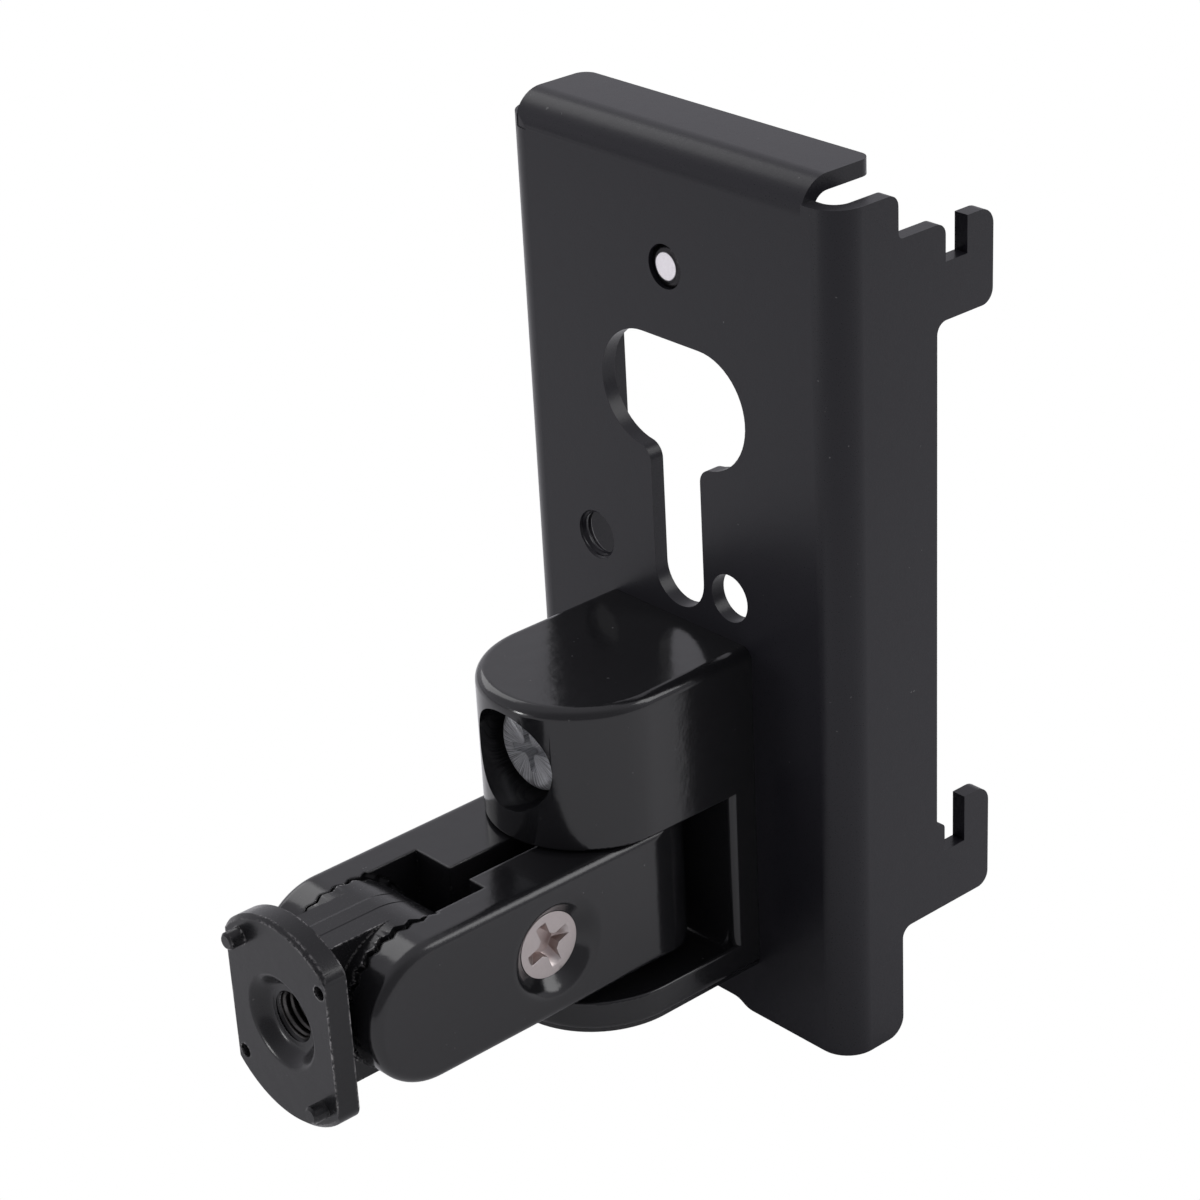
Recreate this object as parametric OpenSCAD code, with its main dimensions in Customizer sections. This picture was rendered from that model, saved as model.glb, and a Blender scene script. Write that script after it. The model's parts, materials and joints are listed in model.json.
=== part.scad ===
// Wall bracket for a small loudspeaker. A folded steel plate hooks on to the wall
// and carries a cast yoke, a clamping arm that swivels in it, and a tilting adaptor.
// Origin: front face of the plate, on its centre line, level with its bottom edge.
// X runs along the plate's width, -Y points into the room and Z is up.

/* [Wall plate] */
// Width over both side flanges
plate_w = 56.4; // [50:0.2:70]
// Height over the top flange
plate_h = 114; // [110:0.5:130]
// Thickness of the sheet
sheet_t = 2; // [1.5:0.1:2.4]
// Outer radius of the folds
fold_r = 4.2; // [3.4:0.1:5]
// Depth of the top flange behind the front face
top_flange_d = 11.6; // [9:0.1:14]
// Gap from the left end of the top flange to the outside of the left side flange
top_flange_left = 2.6; // [1.5:0.1:8]
// Gap from the right end of the top flange to the outside of the right side flange
top_flange_right = 5.5; // [1.5:0.1:8]
// Radius on the rear corners of the top flange
top_corner_r = 1.8; // [0.5:0.1:3]
// Drop from the top of the plate to the side flange's top edge
flange_drop = 2.65; // [2:0.05:4]
// Drop from the side flange's top edge to its lower shoulder
shoulder_drop = 5.4; // [4:0.1:7]
// Depth of the side flange at its top edge
flange_top_d = 9.9; // [8:0.1:12]
// Depth of the side flange between the hooks
flange_mid_d = 16.2; // [14:0.1:17]
// Depth of the side flange below the lower hook
flange_low_d = 10; // [8:0.1:13]
// Height by which the middle of the bottom edge is raised
bottom_step = 1; // [0.4:0.1:2]
// Width of the raised middle of the bottom edge, with its rises
bottom_step_w = 22; // [15:0.5:30]
// Width over which the bottom edge rises at each end of that middle
bottom_rise_w = 3.5; // [1.5:0.1:6]

/* [Hooks] */
// Depth from the front face to the front wall of a hook's slot
slot_front_d = 17.6; // [17:0.1:18.5]
// Width of a hook's slot
slot_gap = 3.6; // [2.5:0.1:4.2]
// Thickness of a hook's prong
prong_t = 4.4; // [3.5:0.1:6]
// Height of a prong above the floor of its slot
prong_h = 4.6; // [4:0.1:4.6]
// Height of a lower prong above the floor of its slot
low_prong_h = 6.3; // [5:0.1:8]
// Height of the metal under a slot's floor on the upper hook
hook_web = 7.1; // [5:0.1:9]
// Height of the metal under a slot's floor on the lower hook
low_hook_web = 8; // [6:0.1:10]
// Drop from the side flange's shoulder to the floor of the upper slot
hook_drop = 4.75; // [4.7:0.05:8]
// Height of the lower slot's floor above the bottom edge
low_hook_z = 23.4; // [20:0.2:35]

/* [Plate openings] */
// Radius of the round ends of the keyhole's head
key_r = 7.5; // [6:0.1:8.5]
// Distance from the middle of the head to the centre of each round end
key_spread = 4.9; // [2:0.1:7]
// Share of the height between the slot's end and the top at which the head is centred
key_share = 0.4164; // [0.36:0.0002:0.43]
// Half the width of the keyhole's slot, and the radius of its end
key_slot_r = 4.3; // [3:0.05:4.6]
// Height of the centre of the slot's round end
key_slot_z = 59; // [58:0.2:64]
// Radius between the head and the slot
key_fillet_r = 2; // [1:0.1:4]
// Distance of the keyhole to the right of the centre line
key_shift = 0.4; // [-0.5:0.1:0.5]
// Radius of the threaded hole
tapped_r = 3.2; // [2.5:0.05:4]
// Distance of the threaded hole from the centre line
tapped_x = 14.7; // [11:0.1:17]
// Height of the threaded hole
tapped_z = 59.5; // [56:0.1:65]
// Radius of the plain hole
plain_r = 3.1; // [2:0.05:3.5]
// Distance of the plain hole from the centre line
plain_x = 9.2; // [8.8:0.1:14]
// Height of the plain hole
plain_z = 58.6; // [56:0.1:65]
// Radius of the lock screw's thread
lock_r = 2.7; // [2:0.05:3.2]
// Share of the height above the keyhole at which the lock screw sits
lock_share = 0.37; // [0.3:0.01:0.5]
// Length of the lock screw
lock_l = 8; // [5:0.1:10]
// Radius of the flat end on the lock screw
lock_tip_r = 1.8; // [1:0.05:1.9]

/* [Yoke] */
// Radius of the yoke's round front, and half its width
yoke_r = 12.7; // [12:0.1:14]
// Distance of the swivel axis from the plate
swivel_d = 16.3; // [16.1:0.1:19]
// Height of the yoke's lower face
yoke_z = 7.9; // [6:0.1:9]
// Thickness of the lower lobe
low_lobe_t = 4.5; // [4:0.1:6]
// Thickness of the upper lobe
up_lobe_t = 19; // [18.8:0.1:21]
// Thickness of the wall that joins the lobes
yoke_web_t = 4; // [3:0.1:4.1]
// Radius of the rounded rim of the lobes
yoke_edge_r = 1.5; // [0.6:0.1:1.6]
// Radius of the corner between the wall and the upper lobe
yoke_fillet_r = 1.5; // [0.8:0.1:1.6]
// Radius of the corner between the wall and the lower lobe
low_fillet_r = 2; // [0.8:0.1:2.2]
// Radius of the wall's upright front edges
web_edge_r = 1; // [0.4:0.1:1.4]
// Radius of the boss that the arm turns on
boss_r = 7; // [6:0.1:9]
// Height of that boss above the lower lobe
boss_h = 2.3; // [1.8:0.1:3]
// Radius of the bore that the yoke's screw sits in
well_r = 6.6; // [6:0.1:6.8]
// Height of that bore's axis above the upper lobe's lower face
well_rise = 10.5; // [10:0.1:10.6]
// Depth of that bore's floor behind the front of the lobe
well_depth = 7.6; // [5:0.1:9]

/* [Arm] */
// Width of the arm over both halves
arm_w = 23; // [22:0.1:24]
// Height of the arm
arm_h = 18.7; // [17.6:0.1:20]
// Distance from the swivel axis to the tilt axis
arm_l = 34; // [33:0.1:40]
// Gap between the two halves
arm_gap = 0.3; // [0.2:0.05:0.6]
// Width of the slot cut into the right half, from the centre line
arm_slot = 3.6; // [2:0.1:4.2]
// Distance from the swivel axis to the back of that slot
arm_slot_d = 5.1; // [4.6:0.1:8]
// Half the width of the pocket that the adaptor sits in
pocket_half = 6.4; // [6:0.1:7.2]
// Gap between the adaptor's hub and the back of the pocket
pocket_back = 2.35; // [0.4:0.05:3]
// Radius of the rounded outer edges of the arm
arm_edge_r = 1.4; // [0.4:0.1:1.6]
// Distance from the swivel axis to the clamp screw
clamp_d = 15.7; // [13:0.1:16.5]
// Radius of the soft-rimmed dimple round the clamp screw's head
clamp_well_r = 7; // [6.5:0.1:7.4]
// Radius of that soft rim
clamp_rim_r = 2; // [1:0.1:2.4]
// Depth of the clamp screw's head below the arm's side
clamp_sink = 1.6; // [0.6:0.1:2.4]

/* [Serrations] */
// Number of teeth round each toothed face
teeth = 26; // [18:1:40]
// Depth of the teeth at the rim of the arm
tooth_d = 0.55; // [0.3:0.05:0.8]
// Gap between the facing crests, as left when the clamp screw is slack
tooth_gap = 0.15; // [0.1:0.05:0.3]
// Inner radius of the toothed ring
tooth_in_r = 6.4; // [6:0.1:7.5]

/* [Adaptor] */
// Distance from the tilt axis to the front of the disc
adaptor_l = 14.1; // [13.6:0.1:20]
// Radius of the adaptor's hub
hub_r = 9.65; // [9:0.05:9.9]
// Radius of the disc
disc_r = 13.5; // [13:0.1:16]
// Width of the disc across its two flats
disc_flats = 18.9; // [18:0.1:23]
// Thickness of the disc
disc_t = 3.1; // [2.6:0.1:3.4]
// Radius of the chamfered rim of the disc
disc_edge = 0.5; // [0.2:0.1:0.8]
// Width of the neck behind the disc
neck_w = 8.6; // [7:0.1:10]
// Radius of the dished recess over its soft lip
dish_r = 6.3; // [5.6:0.1:7]
// Depth of the dished recess
dish_d = 1.8; // [1.5:0.1:2.2]
// Radius of the dish's soft lip
dish_lip_r = 0.6; // [0.2:0.1:0.8]
// Radius of the corner between the dish's wall and its floor
dish_floor_r = 1.1; // [0.3:0.1:1.2]
// Chamfer at the mouth of the threaded hole
thread_chamfer = 0.5; // [0.2:0.1:0.7]
// Radius of the threaded hole for the speaker's screw
thread_r = 3.18; // [2.5:0.01:3.3]
// Depth of that hole from the front of the disc
thread_l = 10; // [7:0.1:11]
// Radius of the key pins
key_pin_r = 1.1; // [0.7:0.05:1.3]
// Length of the key pins in front of the disc
key_pin_l = 2; // [1:0.1:3]
// Distance of the key pins from the disc's centre line
key_pin_x = 6.6; // [5:0.1:7]
// Height of the key pins above and below the disc's centre
key_pin_z = 9; // [7:0.1:9.4]
// Radius of the small holes
key_hole_r = 0.9; // [0.6:0.05:1]
// Depth of the small holes
key_hole_d = 2; // [1:0.1:2.4]
// Distance of the small holes from the disc's centre line
key_hole_x = 8.2; // [7:0.1:8.2]
// Height of the small holes above and below the disc's centre
key_hole_z = 7.7; // [6:0.1:8]

/* [Pins and screws] */
// Radius of the swivel pin
swivel_pin_r = 3; // [2.5:0.1:3.5]
// Radius of the swivel pin's countersunk head
swivel_head_r = 5.4; // [4.5:0.1:6]
// Depth of the swivel pin in the upper lobe
swivel_grip = 2.4; // [1.5:0.1:2.6]
// Radius of the tilt pin
tilt_pin_r = 2.5; // [2:0.1:3]
// Depth of the tilt pin in each half of the arm
tilt_grip = 3; // [2:0.1:3.4]
// Radius of the clamp screw's shank
clamp_r = 2.5; // [2:0.1:3]
// Radius of the clamp screw's flat head
clamp_head_r = 4.4; // [3.8:0.1:4.8]
// Depth of the clamp screw in the far half of the arm
clamp_grip = 7; // [4:0.1:8]
// Radius of the yoke screw's shank
yoke_screw_r = 3; // [2.5:0.1:3.5]
// Radius of the yoke screw's head
yoke_head_r = 5.7; // [5:0.1:5.8]
// Height of the yoke screw's head
yoke_head_h = 3.6; // [2.5:0.1:4]
// Depth of the cross recess in the screw heads
cross_d = 1.6; // [1:0.1:1.8]
// Length of the cross recess in the yoke screw's head
cross_l = 6; // [4:0.1:7]
// Width of the arms of that cross recess
cross_w = 1.1; // [0.7:0.1:1.4]
// Turn of that cross recess, in degrees
cross_turn = 12; // [0:1:90]
// Length of the cross recess in the clamp screw's head
clamp_cross_l = 6.8; // [3.5:0.1:7.4]
// Width of the arms of that cross recess
clamp_cross_w = 1.5; // [0.7:0.1:1.8]
// Turn of that cross recess, in degrees
clamp_cross_turn = 19; // [0:1:90]

/* [Fits] */
// Radial clearance of pins and screws in their bores
fit = 0.05; // [0.02:0.01:0.08]
// Gap between faces that turn past each other
turn_gap = 0.3; // [0.2:0.05:0.35]

/* [Hidden] */
$fn = 64;
// Length by which a cut runs past the face that it opens
over = sheet_t / 2;

half_w = plate_w / 2;
fold_z = plate_h - fold_r;
flange_top_z = plate_h - flange_drop;
shoulder_z = flange_top_z - shoulder_drop;
prong_front_d = slot_front_d + slot_gap;
hook_d = prong_front_d + prong_t;
top_left = top_flange_left - half_w;
top_right = half_w - top_flange_right;
hook_z = shoulder_z - hook_drop;
key_z = key_slot_z + (plate_h - key_slot_z) * key_share;
key_top = key_z + key_r;
lock_z = key_top + (plate_h - key_top) * lock_share;
flange_corner_r = sheet_t * 1.25;
hook_corner_r = sheet_t * 0.9;
inner_corner_r = sheet_t * 0.75;
slot_step_z = low_hook_z + low_prong_h * 0.65;

low_lobe_top = yoke_z + low_lobe_t;
arm_bottom = low_lobe_top + boss_h + turn_gap;
arm_top = arm_bottom + arm_h;
tilt_z = arm_bottom + arm_h / 2;
tilt_y = -swivel_d - arm_l;
up_lobe_z = arm_top + turn_gap;
yoke_top = up_lobe_z + up_lobe_t;
well_z = up_lobe_z + well_rise;
well_floor_y = -swivel_d - yoke_r + well_depth;
arm_half = arm_w / 2;
arm_end_r = arm_h / 2;
arm_split = arm_gap / 2;
arm_slot_y = -swivel_d - arm_slot_d;
hub_half = pocket_half - tooth_gap;
pocket_y = tilt_y + hub_r + pocket_back;
clamp_y = -swivel_d - clamp_d;
disc_y = tilt_y - adaptor_l;
// Share of a tooth's pitch that its groove takes up
groove_share = 0.95;

// Square with two rounded corners on its far side, mirrored about the Z axis
module rounded_bar(half, low, high, low_r, high_r) {
    union() {
        translate([-half, low + low_r]) square([half * 2, high - low - low_r - high_r]);
        translate([-half + high_r, low]) square([(half - high_r) * 2, high - low]);
        for (side = [-1, 1]) {
            translate([side * (half - high_r), high - high_r]) circle(r = high_r);
            translate([side * (half - low_r), low + low_r]) circle(r = low_r);
        }
        translate([-half + low_r, low]) square([(half - low_r) * 2, high - low - high_r]);
    }
}

// Cylinder along Z with its rims rounded
module soft_cylinder(radius, low, high, low_r, high_r) {
    rotate_extrude() intersection() {
        rounded_bar(radius, low, high, low_r, high_r);
        translate([0, low]) square([radius, high - low]);
    }
}

// Concave corner between two faces: a square with a round bite out of it
module corner_fill(radius) {
    difference() {
        square(radius);
        translate([radius, radius]) circle(r = radius);
    }
}

// Rectangle given by its limits, with two corners rounded on its +X side
module tab(x0, x1, z0, z1, low_r, high_r) {
    union() {
        translate([x0, z0 + low_r]) square([x1 - x0, z1 - z0 - low_r - high_r]);
        translate([x0, z0]) square([x1 - x0 - low_r, z1 - z0 - high_r]);
        translate([x0, z0 + low_r]) square([x1 - x0 - high_r, z1 - z0 - low_r]);
        translate([x1 - low_r, z0 + low_r]) circle(r = low_r);
        translate([x1 - high_r, z1 - high_r]) circle(r = high_r);
    }
}

// Upward hook of a side flange: a tab with a slot and a rounded prong
module hook(floor_z, web, rise) {
    difference() {
        union() {
            tab(flange_low_d / 2, hook_d, floor_z - web, floor_z + rise / 2,
                hook_corner_r, sheet_t / 10);
            tab(prong_front_d, hook_d, floor_z, floor_z + rise, sheet_t / 10, prong_t / 2 - fit);
        }
        translate([slot_front_d, floor_z]) square([slot_gap, rise + over]);
    }
}

// Side flange seen from the side: depth along X, height along Y
module flange_outline() {
    union() {
        tab(0, flange_low_d, 0, low_hook_z, flange_corner_r, sheet_t / 10);
        tab(0, flange_mid_d, low_hook_z - low_hook_web + over, shoulder_z,
            sheet_t / 10, sheet_t / 10);
        tab(0, slot_front_d, low_hook_z - over, slot_step_z, sheet_t / 10, inner_corner_r / 2);
        tab(0, slot_front_d, hook_z - hook_web + over, shoulder_z, sheet_t / 10, inner_corner_r);
        tab(0, flange_top_d, shoulder_z - over, flange_top_z, sheet_t / 10, inner_corner_r);
        hook(hook_z, hook_web, prong_h);
        hook(low_hook_z, low_hook_web, low_prong_h);
        translate([flange_low_d, low_hook_z - low_hook_web])
            mirror([0, 1]) corner_fill(inner_corner_r);
        translate([flange_mid_d, hook_z - hook_web])
            mirror([0, 1]) corner_fill(inner_corner_r);
        translate([flange_top_d, shoulder_z]) corner_fill(inner_corner_r / 2);
    }
}

// Section of the folded channel seen from above, with its front along the X axis
module channel_section() {
    difference() {
        union() {
            translate([-half_w + fold_r, 0]) square([plate_w - fold_r * 2, fold_r]);
            translate([-half_w, fold_r]) square([plate_w, hook_d - fold_r]);
            for (side = [-1, 1])
                translate([side * (half_w - fold_r), fold_r]) circle(r = fold_r);
        }
        for (side = [-1, 1])
            translate([side * (half_w - fold_r), fold_r]) circle(r = fold_r - sheet_t);
        translate([-half_w + fold_r, sheet_t]) square([plate_w - fold_r * 2, hook_d]);
        translate([-half_w + sheet_t, fold_r]) square([plate_w - sheet_t * 2, hook_d]);
    }
}

// Sliver to cut off a front corner of the top flange, seen from above, where its end
// reaches past the flat front and would stand proud of the side fold
module corner_relief(reach) {
    depth = fold_r - sqrt(pow(fold_r, 2) - pow(reach, 2)) + sheet_t / 20;
    if (reach > 0)
        polygon([[-fold_r / 8, 0], [reach, depth], [reach + over, depth],
                 [reach + over, -over], [-fold_r / 8, -over]]);
}

// Top flange seen from above, with two rounded rear corners
module top_outline() {
    width = top_right - top_left;
    difference() {
        union() {
            translate([top_left, 0]) square([width, top_flange_d - top_corner_r]);
            translate([top_left + top_corner_r, 0])
                square([width - top_corner_r * 2, top_flange_d]);
            for (x = [top_left + top_corner_r, top_right - top_corner_r])
                translate([x, top_flange_d - top_corner_r]) circle(r = top_corner_r);
        }
        translate([fold_r - half_w, 0]) mirror([1, 0]) corner_relief(fold_r - top_flange_left);
        translate([half_w - fold_r, 0]) corner_relief(fold_r - top_flange_right);
    }
}

// Top flange with its fold, running along X
module top_flange() {
    intersection() {
        rotate([90, 0, 90]) translate([0, 0, top_left - over])
            linear_extrude(top_right - top_left + over * 2) difference() {
            union() {
                translate([fold_r, fold_z]) circle(r = fold_r);
                translate([0, fold_z - fold_r * 2]) square([sheet_t, fold_r * 2]);
                translate([0, fold_z - fold_r]) square([fold_r, fold_r]);
                translate([fold_r, fold_z]) square([top_flange_d - fold_r, fold_r]);
            }
            translate([fold_r, fold_z]) circle(r = fold_r - sheet_t);
            translate([sheet_t, fold_z - fold_r * 2]) square([top_flange_d, fold_r * 2]);
            translate([fold_r, fold_z - over]) square([top_flange_d, fold_r - sheet_t + over]);
        }
        translate([0, 0, fold_z - fold_r * 2]) linear_extrude(fold_r * 4) top_outline();
    }
}

// Keyhole seen from the front: a wide round-ended head above a slot with a round end.
// The fillet between them bites a hair into the head's round ends, so that no sliver is left.
module keyhole() {
    fillet_x = key_slot_r + key_fillet_r;
    lean = max(0, fillet_x - key_spread);
    bite = fit / 5;
    fillet_drop = sqrt(pow(key_r + key_fillet_r - bite, 2) - pow(lean, 2));
    translate([key_shift, 0]) union() {
        translate([0, key_z]) union() {
            square([key_spread * 2, key_r * 2], center = true);
            for (side = [-1, 1]) translate([side * key_spread, 0]) circle(r = key_r);
            difference() {
                polygon([[fillet_x - lean, 0], [fillet_x, -fillet_drop],
                         [-fillet_x, -fillet_drop], [lean - fillet_x, 0]]);
                for (side = [-1, 1])
                    translate([side * fillet_x, -fillet_drop]) circle(r = key_fillet_r);
            }
        }
        translate([-key_slot_r, key_slot_z]) square([key_slot_r * 2, key_z - key_slot_z]);
        translate([0, key_slot_z]) circle(r = key_slot_r);
    }
}

// Shallow recess in the bottom edge seen from the front, with a smooth rise at each end
module bottom_recess() {
    half = bottom_step_w / 2;
    flat_half = half - bottom_rise_w;
    rise_r = (pow(bottom_rise_w, 2) + pow(bottom_step, 2)) / (bottom_step * 4);
    difference() {
        union() {
            polygon([[-half, -over], [-half, 0], [-flat_half, bottom_step],
                     [flat_half, bottom_step], [half, 0], [half, -over]]);
            for (side = [-1, 1])
                translate([side * flat_half, bottom_step - rise_r]) circle(r = rise_r);
        }
        for (side = [-1, 1]) translate([side * half, rise_r]) circle(r = rise_r);
    }
}

// Turns a sketch of X and Z into a cut through the front of the plate
module through_front() {
    rotate([90, 0, 0]) translate([0, 0, -sheet_t - over]) linear_extrude(sheet_t + over * 2) children();
}

module wall_plate() color("#26262a") {
    difference() {
        union() {
            difference() {
                intersection() {
                    linear_extrude(plate_h) channel_section();
                    rotate([90, 0, 90]) translate([0, 0, -half_w - over])
                        linear_extrude(plate_w + over * 2) flange_outline();
                }
                translate([top_left, -over, fold_z])
                    cube([top_right - top_left, sheet_t + over, fold_r + over]);
            }
            top_flange();
        }
        through_front() keyhole();
        through_front() bottom_recess();
        translate([-tapped_x, 0, tapped_z]) rotate([-90, 0, 0]) plate_hole(tapped_r);
        translate([plain_x, 0, plain_z]) rotate([-90, 0, 0]) plate_hole(plain_r);
        translate([0, 0, lock_z]) rotate([-90, 0, 0]) plate_hole(lock_r + fit);
        translate([0, 0, well_z]) rotate([-90, 0, 0]) plate_hole(yoke_screw_r + fit);
    }
}

// Straight hole through the sheet along Z
module plate_hole(radius) {
    translate([0, 0, -over]) cylinder(r = radius, h = sheet_t + over * 2);
}

module lock_screw() color("#c9c9cc") {
    tip = lock_r - lock_tip_r;
    translate([0, fit * 4, lock_z]) rotate([-90, 0, 0]) difference() {
        rotate_extrude() polygon([[0, 0], [lock_tip_r, 0], [lock_r, tip / 2],
                                  [lock_r, lock_l - tip / 2], [lock_tip_r, lock_l], [0, lock_l]]);
        translate([0, 0, lock_l - lock_r]) cylinder(r = lock_tip_r * 0.75, h = lock_r + over, $fn = 6);
    }
}

// Lobe of the yoke: round front, straight sides back to the plate
module lobe(low, high, low_r, high_r) {
    union() {
        translate([0, -swivel_d, 0]) soft_cylinder(yoke_r, low, high, low_r, high_r);
        rotate([90, 0, 0]) linear_extrude(swivel_d)
            rounded_bar(yoke_r, low, high, low_r, high_r);
    }
}

module yoke() color("#141416") {
    fill_w = (yoke_r - yoke_edge_r) * 2;
    difference() {
        union() {
            lobe(yoke_z, low_lobe_top, yoke_edge_r, yoke_edge_r / 4);
            lobe(up_lobe_z, yoke_top, yoke_edge_r / 4, yoke_edge_r);
            translate([0, 0, yoke_z + yoke_edge_r])
                linear_extrude(yoke_top - yoke_z - yoke_edge_r * 2)
                    rotate(-90) tab(0, yoke_web_t, -yoke_r, yoke_r, web_edge_r, web_edge_r);
            translate([0, -swivel_d, 0])
                soft_cylinder(boss_r, low_lobe_top - over, low_lobe_top + boss_h,
                              yoke_edge_r / 4, yoke_edge_r / 4);
            translate([-fill_w / 2, -yoke_web_t, low_lobe_top])
                rotate([90, 0, 90]) linear_extrude(fill_w) mirror([1, 0]) corner_fill(low_fillet_r);
            translate([-fill_w / 2, -yoke_web_t, up_lobe_z])
                rotate([90, 0, 90]) linear_extrude(fill_w)
                    mirror([1, 0]) mirror([0, 1]) corner_fill(yoke_fillet_r);
        }
        translate([0, well_floor_y, well_z]) rotate([90, 0, 0]) cylinder(r = well_r, h = yoke_r * 2);
        translate([0, over, well_z]) rotate([90, 0, 0])
            cylinder(r = yoke_screw_r + fit, h = swivel_d + yoke_r);
        translate([0, -swivel_d, 0]) swivel_bore();
    }
}

// Room for the swivel pin, open at the yoke's lower face
module swivel_bore() {
    sink = swivel_head_r - swivel_pin_r;
    union() {
        translate([0, 0, yoke_z])
            cylinder(r = swivel_pin_r + fit, h = up_lobe_z + swivel_grip + fit - yoke_z);
        translate([0, 0, yoke_z - over])
            cylinder(r = swivel_head_r + fit, h = over + fit * 4);
        translate([0, 0, yoke_z + fit * 4])
            cylinder(r1 = swivel_head_r + fit, r2 = swivel_pin_r + fit, h = sink);
    }
}

// Cross recess for a screw's head, cut downwards from the origin
module cross_recess(length, width, depth) {
    translate([0, 0, -depth]) intersection() {
        union() {
            for (turn = [0, 90])
                rotate(turn) translate([-length / 2, -width / 2, 0])
                    cube([length, width, depth + over]);
            rotate(45) translate([-width, -width, 0]) cube([width * 2, width * 2, depth + over]);
        }
        cylinder(r1 = length / 4, r2 = length / 4 + depth * 1.2, h = depth * 1.2);
    }
}

module yoke_screw() color("#b9bcc0") {
    shank_l = sheet_t * 2 - well_floor_y;
    dome = yoke_head_h * 0.4;
    translate([0, well_floor_y, well_z]) rotate([90, 0, 0]) difference() {
        union() {
            translate([0, 0, -shank_l]) cylinder(r = yoke_screw_r, h = shank_l + over);
            rotate_extrude() intersection() {
                rounded_bar(yoke_head_r, 0, yoke_head_h, dome / 8, dome);
                square([yoke_head_r, yoke_head_h]);
            }
        }
        translate([0, 0, yoke_head_h]) rotate(cross_turn) cross_recess(cross_l, cross_w, cross_d);
    }
}

module swivel_pin() color("#8f9296") {
    sink = swivel_head_r - swivel_pin_r;
    rim = fit * 4;
    translate([0, -swivel_d, yoke_z]) difference() {
        rotate_extrude() polygon([[0, 0], [swivel_head_r, 0], [swivel_head_r, rim],
                                  [swivel_pin_r, rim + sink],
                                  [swivel_pin_r, up_lobe_z + swivel_grip - yoke_z],
                                  [0, up_lobe_z + swivel_grip - yoke_z]]);
        mirror([0, 0, 1]) cross_recess(clamp_cross_l, clamp_cross_w, cross_d);
    }
}

// Outer form of the whole arm: long round-ended bar with soft edges and a round root
module arm_form() {
    intersection() {
        union() {
            translate([0, tilt_y, tilt_z]) rotate([0, 90, 0])
                soft_cylinder(arm_end_r, -arm_half, arm_half, arm_edge_r, arm_edge_r);
            rotate([90, 0, 0]) linear_extrude(-tilt_y)
                rounded_bar(arm_half, arm_bottom, arm_top, arm_edge_r, arm_edge_r);
        }
        translate([0, 0, arm_bottom]) linear_extrude(arm_h) union() {
            translate([0, -swivel_d]) circle(r = arm_half);
            translate([-arm_half, tilt_y - arm_end_r])
                square([arm_w, arm_l + arm_end_r]);
        }
    }
}

// V grooves that leave a ring of radial teeth, cut into the face x = 0 towards +X.
// They widen and deepen in step with the radius. The first is phase_share of a pitch round.
module tooth_grooves(outer_r, phase_share) {
    lean = atan(tooth_d / arm_end_r);
    height = tooth_d + over;
    half = height * groove_share * PI * arm_end_r / (teeth * tooth_d);
    for (i = [0 : teeth - 1])
        rotate([(i + phase_share) * 360 / teeth, 0, 0]) rotate([0, lean, 0])
            translate([0, 0, tooth_in_r]) linear_extrude(outer_r - tooth_in_r + over)
                polygon([[0, 0], [-height, half], [-height, -half]]);
}

// One half of the arm, on the +X side
module arm_half_form() {
    difference() {
        intersection() {
            arm_form();
            translate([arm_split, tilt_y - arm_end_r - over, arm_bottom - over])
                cube([arm_half, arm_l + arm_half + arm_end_r + over * 2, arm_h + over * 2]);
        }
        translate([0, tilt_y - arm_end_r - over, arm_bottom - over])
            cube([pocket_half, pocket_y - tilt_y + arm_end_r + over, arm_h + over * 2]);
        translate([0, -swivel_d, arm_bottom - over])
            cylinder(r = swivel_pin_r + fit, h = arm_h + over * 2);
        translate([pocket_half, tilt_y, tilt_z]) tooth_grooves(arm_end_r, 0);
        translate([0, tilt_y, tilt_z]) rotate([0, 90, 0])
            cylinder(r = tilt_pin_r + fit, h = pocket_half + tilt_grip + fit);
    }
}

// Dimple with a flat floor and a softly rounded rim, cut along -Z from z = 0
module soft_dimple(floor_r, depth, rim_r, round_r) {
    gap = rim_r - floor_r;
    rise = round_r - depth;
    far = sqrt(pow(gap, 2) + pow(rise, 2));
    lean = asin(round_r / far) - atan2(rise, gap);
    wall = sqrt(pow(far, 2) - pow(round_r, 2));
    touch_z = wall * sin(lean) - depth;
    rotate_extrude() difference() {
        polygon([[0, -depth], [floor_r, -depth], [floor_r + wall * cos(lean), touch_z],
                 [rim_r, touch_z], [rim_r, over], [0, over]]);
        translate([rim_r, -round_r]) circle(r = round_r);
    }
}

module arm_right() color("#17171a") {
    head_sink = clamp_head_r - clamp_r;
    difference() {
        arm_half_form();
        translate([0, pocket_y - over, arm_bottom - over])
            cube([arm_slot, arm_slot_y - pocket_y + over, arm_h + over * 2]);
        translate([0, clamp_y, tilt_z]) rotate([0, 90, 0]) union() {
            cylinder(r = clamp_r + fit, h = arm_half);
            translate([0, 0, arm_half - clamp_sink - head_sink])
                cylinder(r1 = clamp_r + fit, r2 = clamp_head_r + fit, h = head_sink);
            translate([0, 0, arm_half])
                soft_dimple(clamp_head_r + fit, clamp_sink, clamp_well_r, clamp_rim_r);
        }
    }
}

module arm_left() color("#17171a") {
    difference() {
        mirror([1, 0, 0]) arm_half_form();
        translate([0, clamp_y, tilt_z]) rotate([0, -90, 0])
            cylinder(r = clamp_r + fit, h = arm_split + clamp_grip + fit);
    }
}

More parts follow.
